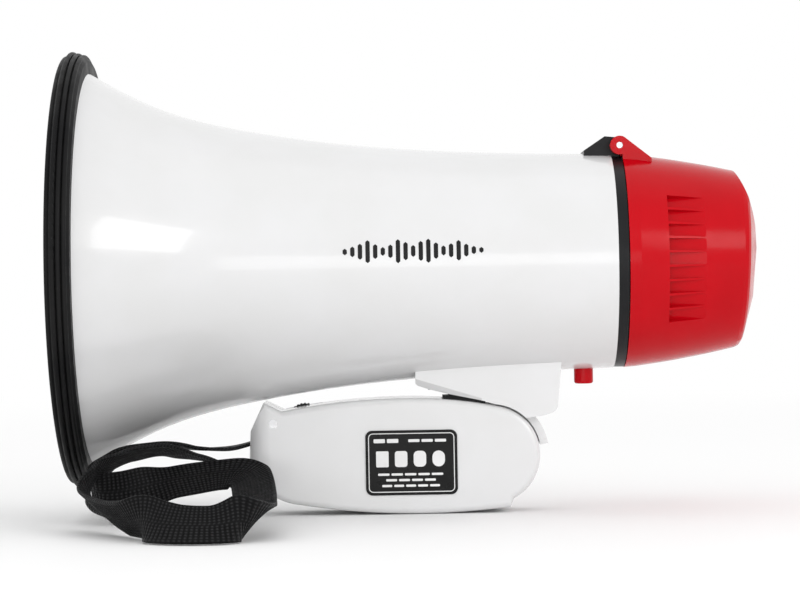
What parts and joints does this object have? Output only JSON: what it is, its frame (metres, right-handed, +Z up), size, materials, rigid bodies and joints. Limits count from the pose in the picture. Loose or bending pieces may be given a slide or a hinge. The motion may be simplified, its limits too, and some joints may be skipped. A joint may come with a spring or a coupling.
{
  "type": "handheld megaphone",
  "caption": "Folding handheld megaphone with flared horn, rubber rim, hinged rear battery cap, folding trigger grip and wrist strap.",
  "frame": {"origin": "centre of the bounding box's footprint, at the lowest point of the folded grip", "axes": "+X along the horn towards the rear cap (the mouth faces -X), +Y to the right of the horn, +Z up"},
  "size_m": [0.2442, 0.2007, 0.1655],
  "materials": {
    "white_gloss": "glossy moulded white",
    "white_matte": "satin moulded white",
    "black_rubber": "matt black rubber",
    "black_plastic": "satin black plastic",
    "red_plastic": "semi-gloss red plastic",
    "steel": "plated steel",
    "ferrite": "dark sintered ferrite",
    "die_cast": "die-cast aluminium",
    "film": "amber film",
    "copper": "copper wire",
    "green_board": "green laminate",
    "can_sleeve": "sleeved cans",
    "cell_jacket": "printed jacket with steel ends",
    "foam": "open-cell foam",
    "label_black": "printed black label",
    "webbing": "woven black webbing"
  },
  "bodies": {
    "horn": {"rim_ring": "black_rubber", "horn_shell": "white_gloss", "throat_horn": "white_matte", "reflector_cup": "white_matte", "driver_flange": "die_cast", "phase_plug": "film", "diaphragm": "film", "voice_coil": "copper", "driver_spacer": "die_cast", "top_plate": "steel", "magnet_ring": "ferrite", "yoke": "steel", "driver_screws": "steel", "amp_board": "green_board", "capacitors": "can_sleeve", "heat_sink": "die_cast", "board_standoffs": "black_plastic", "battery_tray": "black_plastic", "tray_contacts": "steel", "battery_cell_1": "cell_jacket", "battery_cell_2": "cell_jacket", "battery_cell_3": "cell_jacket", "battery_cell_4": "cell_jacket", "rear_bezel": "black_plastic", "bezel_screws": "steel", "hinge_pin": "steel", "latch_spring": "steel", "handle_saddle": "white_gloss", "saddle_screws": "steel", "pivot_pin": "steel"},
    "cap": {"rear_cap": "red_plastic", "contact_carrier": "black_plastic", "cap_contacts": "steel", "cap_screws": "steel", "mic_capsule": "steel", "mic_boot": "black_rubber", "mic_foam": "foam"},
    "latch": {"latch_button": "red_plastic"},
    "grip": {"grip_shell_left": "white_gloss", "grip_shell_right": "white_gloss", "grip_screws": "steel", "trigger_spring": "steel", "trigger_switch": "black_plastic", "grip_board": "green_board", "volume_pot": "black_plastic", "mode_switch": "black_plastic", "strap_pin": "steel", "label_plate": "label_black", "wrist_strap": "webbing"},
    "trigger_bar": {"trigger": "black_plastic"},
    "wheel": {"volume_wheel": "black_plastic"},
    "knob": {"mode_knob": "black_plastic"}
  },
  "joints": [
    {"name": "handle_fold", "type": "hinge", "parent": "horn", "child": "grip", "pos_m": [0.02625, 0, 0.0203], "axis": [0, -1, 0], "range_deg": [0, 73]},
    {"name": "cap_hinge", "type": "hinge", "parent": "horn", "child": "cap", "pos_m": [0.07355, 0, 0.1286], "axis": [0, -1, 0], "range_deg": [0, 110]},
    {"name": "latch_press", "type": "slide", "parent": "horn", "child": "latch", "axis": [0, 0, 1], "range_m": [0, 0.0025], "stiffness_N_per_m": 400, "springref_m": -0.001, "deforming": ["latch_spring"]},
    {"name": "trigger_pull", "type": "slide", "parent": "grip", "child": "trigger_bar", "axis": [0, 0, -1], "range_m": [0, 0.003], "stiffness_N_per_m": 500, "springref_m": -0.001, "deforming": ["trigger_spring"]},
    {"name": "volume_turn", "type": "hinge", "parent": "grip", "child": "wheel", "pos_m": [-0.03975, 0.01025, 0.0324], "axis": [0, 1, 0], "range_deg": [-135, 135]},
    {"name": "mode_slide", "type": "slide", "parent": "grip", "child": "knob", "axis": [1, 0, 0], "range_m": [0, 0.004]}
  ]
}
